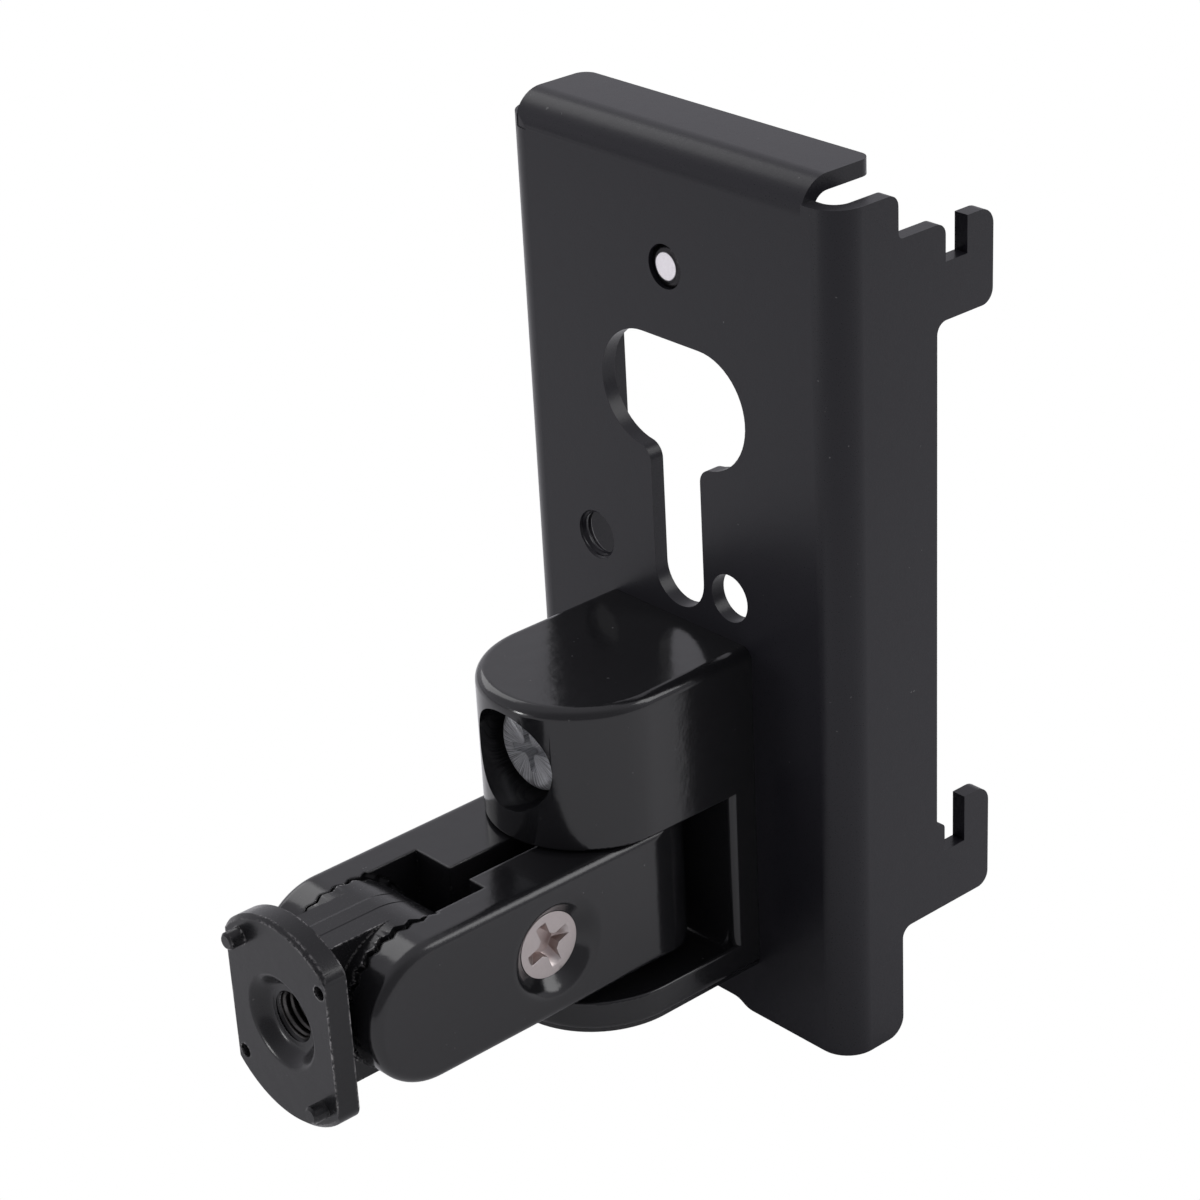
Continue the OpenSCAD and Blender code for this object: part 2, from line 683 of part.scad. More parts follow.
module clamp_screw() color("#b8aeac") {
    head_sink = clamp_head_r - clamp_r;
    head_x = arm_half - clamp_sink;
    far_x = -arm_split - clamp_grip;
    translate([0, clamp_y, tilt_z]) rotate([0, 90, 0]) difference() {
        rotate_extrude() polygon([[0, far_x], [clamp_r, far_x], [clamp_r, head_x - head_sink],
                                  [clamp_head_r, head_x], [0, head_x]]);
        translate([0, 0, head_x])
            rotate(clamp_cross_turn) cross_recess(clamp_cross_l, clamp_cross_w, cross_d);
    }
}

module tilt_pin() color("#9a9da1") {
    reach = pocket_half + tilt_grip;
    rim = tilt_pin_r / 10;
    translate([0, tilt_y, tilt_z]) rotate([0, 90, 0])
        rotate_extrude() polygon([[0, -reach], [tilt_pin_r - rim, -reach], [tilt_pin_r, rim - reach],
                                  [tilt_pin_r, reach - rim], [tilt_pin_r - rim, reach], [0, reach]]);
}

// Disc seen from the front, with a flat on each side
module disc_outline(radius, flats) {
    intersection() {
        circle(r = radius);
        square([flats, radius * 2], center = true);
    }
}

module disc() {
    translate([0, disc_y, tilt_z]) rotate([-90, 0, 0]) difference() {
        union() {
            translate([0, 0, disc_edge]) linear_extrude(disc_t - disc_edge)
                disc_outline(disc_r, disc_flats);
            intersection() {
                linear_extrude(disc_t) disc_outline(disc_r, disc_flats);
                cylinder(r1 = disc_r - disc_edge, r2 = disc_r - disc_edge + disc_t, h = disc_t);
            }
        }
        dish();
        for (side = [-1, 1])
            translate([side * key_hole_x, -side * key_hole_z, -over])
                cylinder(r = key_hole_r, h = key_hole_d + over);
    }
}

// Dished recess with a soft lip and a chamfered hole in its floor, cut along +Z from z = 0
module dish() {
    mouth_r = dish_r - dish_lip_r;
    union() {
        soft_cylinder(mouth_r, -over, dish_d, dish_lip_r / 4, dish_floor_r);
        rotate_extrude() translate([mouth_r, 0]) corner_fill(dish_lip_r);
        translate([0, 0, dish_d])
            cylinder(r1 = thread_r + thread_chamfer, r2 = thread_r, h = thread_chamfer);
    }
}

module speaker_adaptor() color("#1b1b1e") {
    difference() {
        union() {
            translate([-hub_half, tilt_y, tilt_z]) rotate([0, 90, 0]) cylinder(r = hub_r, h = hub_half * 2);
            translate([-neck_w / 2, disc_y + disc_t - fit, tilt_z - hub_r])
                cube([neck_w, adaptor_l - disc_t + fit, hub_r * 2]);
            disc();
            for (side = [-1, 1])
                translate([-side * key_pin_x, disc_y, tilt_z + side * key_pin_z]) key_pin();
        }
        for (side = [0, 1])
            translate([0, tilt_y, tilt_z]) mirror([side, 0, 0])
                translate([-hub_half, 0, 0]) tooth_grooves(hub_r, 0.5);
        translate([-pocket_half, tilt_y, tilt_z]) rotate([0, 90, 0])
            cylinder(r = tilt_pin_r + fit, h = pocket_half * 2);
        translate([0, disc_y - over, tilt_z]) rotate([-90, 0, 0])
            cylinder(r = thread_r, h = thread_l + over);
    }
}

// Key pin standing out of the disc along -Y, with a chamfered tip
module key_pin() {
    tip = key_pin_r / 4;
    rotate([90, 0, 0]) rotate_extrude()
        polygon([[0, -tip], [key_pin_r, -tip], [key_pin_r, key_pin_l - tip],
                 [key_pin_r - tip, key_pin_l], [0, key_pin_l]]);
}

wall_plate();
lock_screw();
yoke();
yoke_screw();
swivel_pin();
arm_left();
arm_right();
clamp_screw();
tilt_pin();
speaker_adaptor();
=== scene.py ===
# %% [markdown]
# A speaker wall bracket in satin and gloss black.
# A folded steel plate hooks onto a wall rail. A cast arm swivels on it, and a toothed
# knuckle at the arm's end tilts the disc that carries the speaker. The solid parts come
# ready made from the CAD model. This lesson dresses them: it softens their edges, gives each
# finish a material with real surface detail, cuts screw threads where a hole needs them, and
# sets up the light and the camera. The model is loaded first, and its box is kept.

# %% Load the frame
import bmesh
import bpy
import json
import math
from mathutils import Matrix, Vector


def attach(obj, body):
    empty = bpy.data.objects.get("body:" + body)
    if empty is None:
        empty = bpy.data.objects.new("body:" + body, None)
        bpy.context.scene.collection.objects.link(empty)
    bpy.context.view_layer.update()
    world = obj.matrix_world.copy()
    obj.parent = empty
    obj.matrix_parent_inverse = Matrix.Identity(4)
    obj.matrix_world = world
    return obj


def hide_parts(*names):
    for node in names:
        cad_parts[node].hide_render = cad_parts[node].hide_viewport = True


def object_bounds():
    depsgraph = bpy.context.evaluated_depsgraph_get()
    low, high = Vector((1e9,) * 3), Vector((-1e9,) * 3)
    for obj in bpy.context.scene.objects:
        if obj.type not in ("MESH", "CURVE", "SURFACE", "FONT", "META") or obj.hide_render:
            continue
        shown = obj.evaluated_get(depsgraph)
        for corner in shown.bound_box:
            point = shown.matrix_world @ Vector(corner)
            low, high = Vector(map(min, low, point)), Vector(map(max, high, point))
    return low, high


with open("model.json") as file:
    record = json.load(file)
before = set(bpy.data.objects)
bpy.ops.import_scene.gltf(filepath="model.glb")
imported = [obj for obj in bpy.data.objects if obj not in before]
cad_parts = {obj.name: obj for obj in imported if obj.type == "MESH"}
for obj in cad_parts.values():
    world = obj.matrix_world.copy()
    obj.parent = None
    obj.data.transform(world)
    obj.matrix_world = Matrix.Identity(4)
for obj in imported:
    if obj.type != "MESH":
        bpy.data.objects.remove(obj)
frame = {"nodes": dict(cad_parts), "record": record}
cad_low, cad_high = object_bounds()
nodes = frame["nodes"]
MM = 0.001
print("pieces:", sorted(nodes))

# %% [markdown]
# The camera stands to the right of the bracket, in front of it and above. It is a long lens,
# so the plate's edges stay almost parallel. The picture is a crop of a wider one, so a little
# shift moves the view without turning the camera, which would change the perspective.

# %% Camera
CAMERA_PLACE = Vector((0.26897, -0.24175, 0.23424))
CAMERA_AZIMUTH = math.radians(47.24)
CAMERA_ELEVATION = math.radians(29.11)
CAMERA_ROLL = math.radians(-2.02)
CAMERA_LENS = 98.6
CAMERA_SHIFT = (-0.1048, 0.1318)


def make_camera():
    """Camera that looks at the bracket from the right, the front and above."""
    camera = bpy.data.objects.new("camera", bpy.data.cameras.new("camera"))
    bpy.context.scene.collection.objects.link(camera)
    back = Vector((math.sin(CAMERA_AZIMUTH) * math.cos(CAMERA_ELEVATION),
                   -math.cos(CAMERA_AZIMUTH) * math.cos(CAMERA_ELEVATION),
                   math.sin(CAMERA_ELEVATION)))
    turn = (-back).to_track_quat("-Z", "Y").to_matrix()
    turn = turn @ Matrix.Rotation(CAMERA_ROLL, 3, "Z")
    camera.matrix_world = Matrix.Translation(CAMERA_PLACE) @ turn.to_4x4()
    camera.data.lens = CAMERA_LENS
    camera.data.sensor_width = 36
    camera.data.shift_x, camera.data.shift_y = CAMERA_SHIFT
    camera.data.clip_start, camera.data.clip_end = 0.01, 20
    bpy.context.scene.camera = camera
    return camera


camera = make_camera()
print("camera at", tuple(round(v, 3) for v in camera.location))

# %% [markdown]
# Black paint shows almost nothing but what it reflects, so the room matters more than the
# lamps. The plate stands on a pale table, whose shade under the arm darkens the lower paint.
# The camera sees table and room as plain white. The paint sees the room a little darker,
# and darkest towards the camera, where the photographer's side of a studio is never lit.

# %% Room and floor
FLOOR_DROP = 0.0004
TABLE_PALE, TABLE_FAR_PAINTED_DIM = 0.97, 0.6
TABLE_NEAR, TABLE_FAR = 0.2, 0.9
ROOM_GLOW = 0.64
CAMERA_SIDE_GLOW = 0.3
CAMERA_SIDE = (0.1, 0.8)
ROOM_TINT = (1.0, 0.985, 1.06, 1)
WHITE = (1, 1, 1, 1)


def link_range(tree, value, low, high, to_low, to_high):
    """Smooth map of value from low..high to to_low..to_high."""
    node = tree.nodes.new("ShaderNodeMapRange")
    node.interpolation_type = "SMOOTHSTEP"
    tree.links.new(value, node.inputs["Value"])
    for label, number in (("From Min", low), ("From Max", high),
                          ("To Min", to_low), ("To Max", to_high)):
        node.inputs[label].default_value = number
    return node.outputs["Result"]


def mix_shader(tree, factor, first, second):
    """Mix of two shaders by a factor socket."""
    node = tree.nodes.new("ShaderNodeMixShader")
    tree.links.new(factor, node.inputs[0])
    tree.links.new(first, node.inputs[1])
    tree.links.new(second, node.inputs[2])
    return node.outputs[0]


def make_floor():
    """Wide pale table under the plate, painted as a pool of light that dims far off. The camera
    sees plain white, or nothing from below.
    """
    bpy.ops.mesh.primitive_plane_add(size=12, location=(0, 0, cad_low.z - FLOOR_DROP))
    floor = bpy.context.object
    floor.name = "floor"
    material = bpy.data.materials.new("floor")
    material.use_nodes = True
    tree = material.node_tree
    shader = tree.nodes["Principled BSDF"]
    shader.inputs["Roughness"].default_value = 1.0
    shader.inputs["Specular IOR Level"].default_value = 0.0
    place = tree.nodes.new("ShaderNodeTexCoord")
    reach = tree.nodes.new("ShaderNodeVectorMath")
    reach.operation = "LENGTH"
    tree.links.new(place.outputs["Object"], reach.inputs[0])
    # The table's colour fades from pale near the bracket to darker far off: a painted pool of
    # light, which the paint reflects.
    painted_light_pool = link_range(tree, reach.outputs["Value"], TABLE_NEAR, TABLE_FAR,
                      TABLE_PALE, TABLE_FAR_PAINTED_DIM)
    tree.links.new(painted_light_pool, shader.inputs["Base Color"])
    white = tree.nodes.new("ShaderNodeEmission")
    clear = tree.nodes.new("ShaderNodeBsdfTransparent")
    sides = tree.nodes.new("ShaderNodeNewGeometry")
    path = tree.nodes.new("ShaderNodeLightPath")
    seen = mix_shader(tree, sides.outputs["Backfacing"], white.outputs[0], clear.outputs[0])
    both = mix_shader(tree, path.outputs["Is Camera Ray"], shader.outputs[0], seen)
    tree.links.new(both, tree.nodes["Material Output"].inputs["Surface"])
    floor.data.materials.append(material)
    return floor


def make_room():
    """White surroundings that are darker on the camera's side."""
    world = bpy.data.worlds.new("studio")
    world.use_nodes = True
    tree = world.node_tree
    place = tree.nodes.new("ShaderNodeTexCoord")
    side = tree.nodes.new("ShaderNodeVectorMath")
    side.operation = "DOT_PRODUCT"
    side.inputs[1].default_value = (math.sin(CAMERA_AZIMUTH), -math.cos(CAMERA_AZIMUTH), 0)
    tree.links.new(place.outputs["Generated"], side.inputs[0])
    glow = link_range(tree, side.outputs["Value"], *CAMERA_SIDE, ROOM_GLOW, CAMERA_SIDE_GLOW)
    path = tree.nodes.new("ShaderNodeLightPath")
    pick = tree.nodes.new("ShaderNodeMix")
    tree.links.new(path.outputs["Is Camera Ray"], pick.inputs["Factor"])
    tree.links.new(glow, pick.inputs[2])
    pick.inputs[3].default_value = 1.0
    tree.links.new(pick.outputs[0], tree.nodes["Background"].inputs["Strength"])
    tint = tree.nodes.new("ShaderNodeMix")
    tint.data_type = "RGBA"
    tree.links.new(path.outputs["Is Camera Ray"], tint.inputs["Factor"])
    tint.inputs[6].default_value = ROOM_TINT
    tint.inputs[7].default_value = WHITE
    tree.links.new(tint.outputs[2], tree.nodes["Background"].inputs["Color"])
    bpy.context.scene.world = world
    return world


floor = make_floor()
room = make_room()
bpy.context.scene.view_settings.view_transform = "Standard"
print("room:", room.name, "over", floor.name)

# %% [markdown]
# Three soft panels add to the room's light. The left and right ones stand behind the plate
# and show in the gloss paint as pale patches with soft ends. The small front one is low and
# almost in line with the well in the yoke, where it reaches the plated screw at the bottom.
# An area light is the simplest soft box: its size sets how soft the patch is.

# %% Soft panels
def soft_panel(name, place, aim, size, power):
    """Rectangular soft light of power watts at place that faces aim."""
    light = bpy.data.lights.new(name, "AREA")
    light.shape = "RECTANGLE"
    light.size, light.size_y = size
    light.energy = power
    panel = bpy.data.objects.new(name, light)
    bpy.context.scene.collection.objects.link(panel)
    panel.location = place
    panel.rotation_mode = "QUATERNION"
    panel.rotation_quaternion = (Vector(aim) - Vector(place)).to_track_quat("-Z", "Y")
    return panel


BRACKET_MIDDLE = (0, 0, 0.05)
YOKE_WELL = (0, -0.02, 0.045)
panels = [
    soft_panel("left_panel", (-0.62, 0.0, 0.5), BRACKET_MIDDLE, (0.4, 0.5), 1.0),
    soft_panel("right_panel", (0.4, 0.5, 0.5), BRACKET_MIDDLE, (0.5, 0.4), 1.7),
    soft_panel("front_panel", (-0.22, -0.7, 0.06), YOKE_WELL, (0.14, 0.14), 0.8),
]
print("panels:", [panel.name for panel in panels])

# %% [markdown]
# The disc's outline is an arc with a flat on each side, and on the casting the corners
# between them are well rounded. A copy of the adaptor is made, and a boolean takes off the
# sliver beyond a circle that touches both the flat and the arc at each corner. A bevel of
# the corners' points would also catch the long edges of the flats, which share those points.
# The copy then stands for the plain one, and rides on the same body.

# %% Rounded adaptor
DISC_CORNER = 2.2 * MM
CORNER_STEPS = 8
WEDGE_FRONT, WEDGE_BACK = 1 * MM, 4 * MM
WELD_GAP = 0.002 * MM
mounts = {mount["name"]: mount for mount in frame["record"]["mounts"]}


def corner_wedge(mesh, flat_x, disc_r, centre, side_x, side_z, low_y, high_y):
    """Adds to mesh the prism that rounding by DISC_CORNER takes off one corner."""
    ball_x = flat_x - DISC_CORNER
    ball_z = math.sqrt((disc_r - DISC_CORNER) ** 2 - ball_x ** 2)
    top = math.atan2(ball_z, ball_x)
    turns = [top * step / CORNER_STEPS for step in range(CORNER_STEPS + 1)]
    outline = [(ball_x + DISC_CORNER * math.cos(turn), ball_z + DISC_CORNER * math.sin(turn))
               for turn in turns]
    far = disc_r + DISC_CORNER
    outline += [(far * math.cos(top), far * math.sin(top)), (far, ball_z)]
    rings = [[mesh.verts.new((side_x * x, y, centre + side_z * z)) for x, z in outline]
             for y in (low_y, high_y)]
    mesh.faces.new(rings[0])
    mesh.faces.new(rings[1])
    for start in range(len(outline)):
        after = (start + 1) % len(outline)
        mesh.faces.new((rings[0][start], rings[0][after], rings[1][after], rings[1][start]))


def make_rounded_adaptor():
    """Copy of the adaptor whose disc has round corners between its arcs and flats."""
    node = nodes["speaker_adaptor"]
    places = [vertex.co for vertex in node.data.vertices]
    face_y = mounts["disc_face"]["pos_m"][1]
    centre = mounts["speaker_thread"]["pos_m"][2]
    disc_r = max(co.z for co in places) - centre
    flat_x = max(co.x for co in places)
    wedges = bmesh.new()
    for side_x in (-1, 1):
        for side_z in (-1, 1):
            corner_wedge(wedges, flat_x, disc_r, centre, side_x, side_z,
                         face_y - WEDGE_FRONT, face_y + WEDGE_BACK)
    bmesh.ops.recalc_face_normals(wedges, faces=wedges.faces)
    cutter_data = bpy.data.meshes.new("corner_wedges")
    wedges.to_mesh(cutter_data)
    wedges.free()
    cutter = bpy.data.objects.new("corner_wedges", cutter_data)
    bpy.context.scene.collection.objects.link(cutter)
    rough = bpy.data.objects.new("rough_adaptor", node.data.copy())
    bpy.context.scene.collection.objects.link(rough)
    weld = rough.modifiers.new("weld", "WELD")
    weld.merge_threshold = WELD_GAP
    trim = rough.modifiers.new("trim", "BOOLEAN")
    trim.operation = "DIFFERENCE"
    trim.solver = "EXACT"
    trim.object = cutter
    shown = rough.evaluated_get(bpy.context.evaluated_depsgraph_get())
    data = bpy.data.meshes.new_from_object(shown)
    piece = bpy.data.objects.new("rounded_adaptor", data)
    bpy.context.scene.collection.objects.link(piece)
    for spare in (rough, cutter):
        bpy.data.objects.remove(spare, do_unlink=True)
    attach(piece, "adaptor")
    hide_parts("speaker_adaptor")
    return piece


rounded_adaptor = make_rounded_adaptor()
print("adaptor:", len(rounded_adaptor.data.polygons), "faces")

# %% [markdown]
# Cast and folded metal never has a knife edge: paint and the mould round it off, and that
# thin rounding is what catches the light. Modifiers first join flat faces into single
# polygons, and then bevel the sharp edges. Last comes a weighted normal, so that a big flat
# face stays flat right up to its bevels. The two arm halves are left alone: their round ends
# run into fine teeth, where only the exact normals of the CAD surface stay smooth, so their
# paint rounds the edges in its shading instead.

# %% Soft edges
EDGE_WIDTHS = {"wall_plate": 0.35, "yoke": 0.25, "clamp_screw": 0.12, "yoke_screw": 0.15,
               "swivel_pin": 0.1, "tilt_pin": 0.08, "lock_screw": 0.08}
ADAPTOR_EDGE = 0.3
FLAT_ENOUGH = math.radians(0.6)
SHARP_FROM = math.radians(28)
FLAT_FACE_WEIGHT = 80


def soften(piece, width, segments=2):
    """Rounds the sharp edges of a piece by width, in metres, with modifiers only."""
    for polygon in piece.data.polygons:
        polygon.use_smooth = True
    weld = piece.modifiers.new("weld", "WELD")
    weld.merge_threshold = WELD_GAP
    flat = piece.modifiers.new("flat_faces", "DECIMATE")
    flat.decimate_type = "DISSOLVE"
    flat.angle_limit = FLAT_ENOUGH
    bevel = piece.modifiers.new("soft_edges", "BEVEL")
    bevel.width = width
    bevel.segments = segments
    bevel.limit_method = "ANGLE"
    bevel.angle_limit = SHARP_FROM
    even = piece.modifiers.new("even_shading", "WEIGHTED_NORMAL")
    even.weight = FLAT_FACE_WEIGHT


for node, width in EDGE_WIDTHS.items():
    soften(nodes[node], width * MM)
soften(rounded_adaptor, ADAPTOR_EDGE * MM)
print("softened", len(EDGE_WIDTHS) + 1, "pieces")

# %% [markdown]
# The model's threaded holes are plain bores. Each gets a sleeve that just lines the bore and
# whose inner face follows a real helix: the radius dips to the thread's crest once a turn.
# It is made as rings of points, row by row along the axis, so no boolean is needed. The
# thread fades out over the first and last half turn, as a tap leaves it.

# %% Thread sleeves
THREAD_STEPS, THREAD_ROWS = 64, 10
SLEEVE_GAP = 0.02 * MM
RUN_OUT = 0.4
CREST_WIDTH, FLANK_SLOPE = 1.45, 2.6


def thread_sleeve(name, mount, body, length, start, pitch, depth):
    """Inside thread along a threaded mount, from start metres behind its point."""
    radius = mounts[mount]["dims"]["r_mm"] * MM - SLEEVE_GAP
    axis = -Vector(mounts[mount]["axis"])
    place = Vector(mounts[mount]["pos_m"]) + axis * start
    turn = axis.to_track_quat("Z", "X").to_matrix()
    rings = int(length / pitch * THREAD_ROWS)
    mesh = bmesh.new()
    grid = []
    for ring in range(rings + 1):
        along = length * ring / rings
        fade = min(1.0, along / (pitch * RUN_OUT), (length - along) / (pitch * RUN_OUT))
        row = []
        for step in range(THREAD_STEPS):
            phase = (along / pitch + step / THREAD_STEPS) % 1.0
            crest = max(0.0, min(1.0, CREST_WIDTH - FLANK_SLOPE * abs(phase - 0.5)))
            reach = radius - depth * crest * fade
            angle = 2 * math.pi * step / THREAD_STEPS
            point = Vector((reach * math.cos(angle), reach * math.sin(angle), along))
            row.append(mesh.verts.new(place + turn @ point))
        grid.append(row)
    for lower, upper in zip(grid, grid[1:]):
        for step in range(THREAD_STEPS):
            after = (step + 1) % THREAD_STEPS
            face = mesh.faces.new((lower[step], upper[step], upper[after], lower[after]))
            face.smooth = True
    data = bpy.data.meshes.new(name)
    mesh.to_mesh(data)
    mesh.free()
    sleeve = bpy.data.objects.new(name, data)
    bpy.context.scene.collection.objects.link(sleeve)
    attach(sleeve, body)
    return sleeve


speaker_thread = thread_sleeve("speaker_thread", "speaker_thread", "adaptor",
                               length=6.4 * MM, start=-1.1 * MM, pitch=1.0 * MM, depth=0.36 * MM)
plate_thread = thread_sleeve("plate_thread", "plate_thread", "wall",
                             length=1.9 * MM, start=-0.95 * MM, pitch=1.0 * MM, depth=0.42 * MM)
print("sleeves:", speaker_thread.name, plate_thread.name)

# %% [markdown]
# The disc's recess is a shallow funnel with a soft lip, which the model gives in plain steps.
# A revolved skin lies over those steps: its depth follows half a cosine wave from the lip
# down to the flat ring round the thread, so the light runs round it without a break.

# %% Dish skin
DISH_RIM, DISH_FLOOR_RIM, DISH_DEPTH = 6.34 * MM, 3.9 * MM, 1.74 * MM
DISH_STEPS, DISH_RINGS = 96, 28
SKIN_LIFT = 0.004 * MM
THREAD_LIP = 0.1 * MM


def make_dish_skin():
    """Funnel-shaped skin over the adaptor's dish, centred on the speaker's thread."""
    face_y = mounts["disc_face"]["pos_m"][1]
    middle = mounts["speaker_thread"]["pos_m"]
    inner = mounts["speaker_thread"]["dims"]["r_mm"] * MM + THREAD_LIP
    turns = [2 * math.pi * step / DISH_STEPS for step in range(DISH_STEPS)]
    mesh = bmesh.new()
    grid = []
    for ring in range(DISH_RINGS + 1):
        reach = DISH_RIM + (inner - DISH_RIM) * ring / DISH_RINGS
        share = min(1.0, (DISH_RIM - reach) / (DISH_RIM - DISH_FLOOR_RIM))
        depth = DISH_DEPTH * (1 - math.cos(math.pi * share)) / 2 - SKIN_LIFT
        row = [mesh.verts.new((middle[0] + reach * math.cos(turn), face_y + depth,
                               middle[2] + reach * math.sin(turn))) for turn in turns]
        grid.append(row)
    for outer, lower in zip(grid, grid[1:]):
        for step in range(DISH_STEPS):
            after = (step + 1) % DISH_STEPS
            face = mesh.faces.new((outer[step], outer[after], lower[after], lower[step]))
            face.smooth = True
    mesh.normal_update()
    data = bpy.data.meshes.new("dish_skin")
    mesh.to_mesh(data)
    mesh.free()
    skin = bpy.data.objects.new("dish_skin", data)
    bpy.context.scene.collection.objects.link(skin)
    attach(skin, "adaptor")
    return skin


dish_skin = make_dish_skin()
print("skin:", dish_skin.name, len(dish_skin.data.polygons), "faces")

# %% [markdown]
# Three effects serve more than one finish, so each is a node group: orange peel, the slow
# waves in any sprayed coat; grit, the fine speckle of powder or cast metal; and edge wear,
# a mask of the spots where the coat has chipped along an edge. A group is built once and
# placed in each material with its own values. First come the small helpers that build its
# nodes and links, so that each effect then reads as a few lines.

# %% Helpers for shader groups
def new_group(name, inputs, outputs):
    """Shader node group with named float inputs and named outputs."""
    group = bpy.data.node_groups.new(name, "ShaderNodeTree")
    for label, value in inputs:
        socket = group.interface.new_socket(label, in_out="INPUT", socket_type="NodeSocketFloat")
        socket.default_value = value
    for label, kind in outputs:
        group.interface.new_socket(label, in_out="OUTPUT", socket_type=kind)
    enter = group.nodes.new("NodeGroupInput")
    leave = group.nodes.new("NodeGroupOutput")
    return group, enter, leave


def math_node(tree, operation, first, second):
    """Math node whose inputs are sockets or numbers."""
    node = tree.nodes.new("ShaderNodeMath")
    node.operation = operation
    for socket, value in zip(node.inputs, (first, second)):
        if isinstance(value, (int, float)):
            socket.default_value = value
        else:
            tree.links.new(value, socket)
    return node.outputs[0]


def noise_node(tree, scale, detail=2.0, roughness=0.5):
    """Noise in object coordinates: scale is a socket or a number of waves a metre."""
    place = tree.nodes.new("ShaderNodeTexCoord")
    noise = tree.nodes.new("ShaderNodeTexNoise")
    tree.links.new(place.outputs["Object"], noise.inputs["Vector"])
    if isinstance(scale, (int, float)):
        noise.inputs["Scale"].default_value = scale
    else:
        tree.links.new(scale, noise.inputs["Scale"])
    noise.inputs["Detail"].default_value = detail
    noise.inputs["Roughness"].default_value = roughness
    return noise.outputs["Fac"]


def ramp_node(tree, value, low, high):
    """Maps value from low..high to 0..1, clamped."""
    node = tree.nodes.new("ShaderNodeMapRange")
    tree.links.new(value, node.inputs["Value"])
    node.inputs["From Min"].default_value = low
    node.inputs["From Max"].default_value = high
    return node.outputs["Result"]


print("helpers:", new_group.__name__, math_node.__name__, noise_node.__name__,
      ramp_node.__name__)

# %% [markdown]
# Sprayed and baked paint is never flat: it keeps slow waves, named after the skin of an
# orange, with small dimples on top. Two noises of different scale, added up, give a height
# that the materials feed to a Bump node. It is far too shallow to be worth real geometry.

# %% Orange peel group
def make_orange_peel():
    """Height of the slow waves and fine dimples in a sprayed coat."""
    group, enter, leave = new_group(
        "orange peel", [("Wave Scale", 260), ("Dimple Scale", 1600), ("Dimples", 0.3)],
        [("Height", "NodeSocketFloat")])
    waves = noise_node(group, enter.outputs["Wave Scale"], 1.0)
    dimples = noise_node(group, enter.outputs["Dimple Scale"], 2.0)
    share = math_node(group, "MULTIPLY", dimples, enter.outputs["Dimples"])
    group.links.new(math_node(group, "ADD", waves, share), leave.inputs["Height"])
    return group


orange_peel = make_orange_peel()
print("group:", orange_peel.name)

# %% [markdown]
# Seen close up, a coat also has a grain, and a used one has dust on it. The grain is a fine
# noise that each material maps to its colour and roughness. The dust is the rare peaks of a
# coarser noise: a narrow ramp just below the peaks turns them into small separate specks.

# %% Grit group
def make_grit():
    """Fine speckle: a value round 0.5, and a mask of rare bright specks of dust."""
    group, enter, leave = new_group(
        "grit", [("Grain Scale", 5200), ("Speck Scale", 900), ("Speck Level", 0.76)],
        [("Grain", "NodeSocketFloat"), ("Specks", "NodeSocketFloat")])
    grain = noise_node(group, enter.outputs["Grain Scale"], 3.0, 0.65)
    group.links.new(grain, leave.inputs["Grain"])
    specks = noise_node(group, enter.outputs["Speck Scale"], 1.0)
    over = math_node(group, "SUBTRACT", specks, enter.outputs["Speck Level"])
    group.links.new(ramp_node(group, over, 0.0, 0.03), leave.inputs["Specks"])
    return group


grit = make_grit()
print("group:", grit.name)

# %% [markdown]
# Paint is thinnest on an edge and chips there first. The shader's Bevel node tilts its normal
# near an edge only, so the difference from the true normal is a mask of the edges, with no
# painting by hand. A fine noise breaks the mask into chips, and a coarse one lets them gather
# in some places and leaves others whole, as knocks do.

# %% Edge wear group
EDGE_REACH = 0.45 * MM


def make_edge_wear():
    """Mask of chipped spots: where the rounded normal differs from the true one."""
    group, enter, leave = new_group(
        "edge wear", [("Chip Scale", 900), ("Amount", 0.5)], [("Mask", "NodeSocketFloat")])
    bevel = group.nodes.new("ShaderNodeBevel")
    bevel.samples = 4
    bevel.inputs["Radius"].default_value = EDGE_REACH
    place = group.nodes.new("ShaderNodeNewGeometry")
    dot = group.nodes.new("ShaderNodeVectorMath")
    dot.operation = "DOT_PRODUCT"
    group.links.new(bevel.outputs["Normal"], dot.inputs[0])
    group.links.new(place.outputs["True Normal"], dot.inputs[1])
    edge = math_node(group, "SUBTRACT", 1.0, dot.outputs["Value"])
    edge = ramp_node(group, edge, 0.02, 0.16)
    chips = noise_node(group, enter.outputs["Chip Scale"], 4.0, 0.7)
    share = math_node(group, "MULTIPLY", enter.outputs["Amount"], 0.3)
    level = math_node(group, "SUBTRACT", 0.78, share)
    over = math_node(group, "SUBTRACT", chips, level)
    chipped = ramp_node(group, over, 0.0, 0.03)
    patch_scale = math_node(group, "MULTIPLY", enter.outputs["Chip Scale"], 0.1)
    patches = ramp_node(group, noise_node(group, patch_scale, 2.0), 0.44, 0.6)
    worn = math_node(group, "MULTIPLY", chipped, patches)
    group.links.new(math_node(group, "MULTIPLY", edge, worn), leave.inputs["Mask"])
    return group


edge_wear = make_edge_wear()
print("group:", edge_wear.name)

# %% [markdown]
# Every material starts from one Principled shader. What is the same all over a surface is set
# on the shader's own socket, and only what changes over it comes through nodes. These helpers
# do that, and turn the groups' values into colours and bumps.

# %% Material helpers
def new_material(name, color, roughness, metallic=0.0, specular=0.5):
    """Material with a Principled shader and its constants set on the shader itself."""
    material = bpy.data.materials.new(name)
    material.use_nodes = True
    tree = material.node_tree
    shader = tree.nodes["Principled BSDF"]
    shader.inputs["Base Color"].default_value = (*color, 1)
    shader.inputs["Roughness"].default_value = roughness
    shader.inputs["Metallic"].default_value = metallic
    shader.inputs["Specular IOR Level"].default_value = specular
    return material, tree, shader


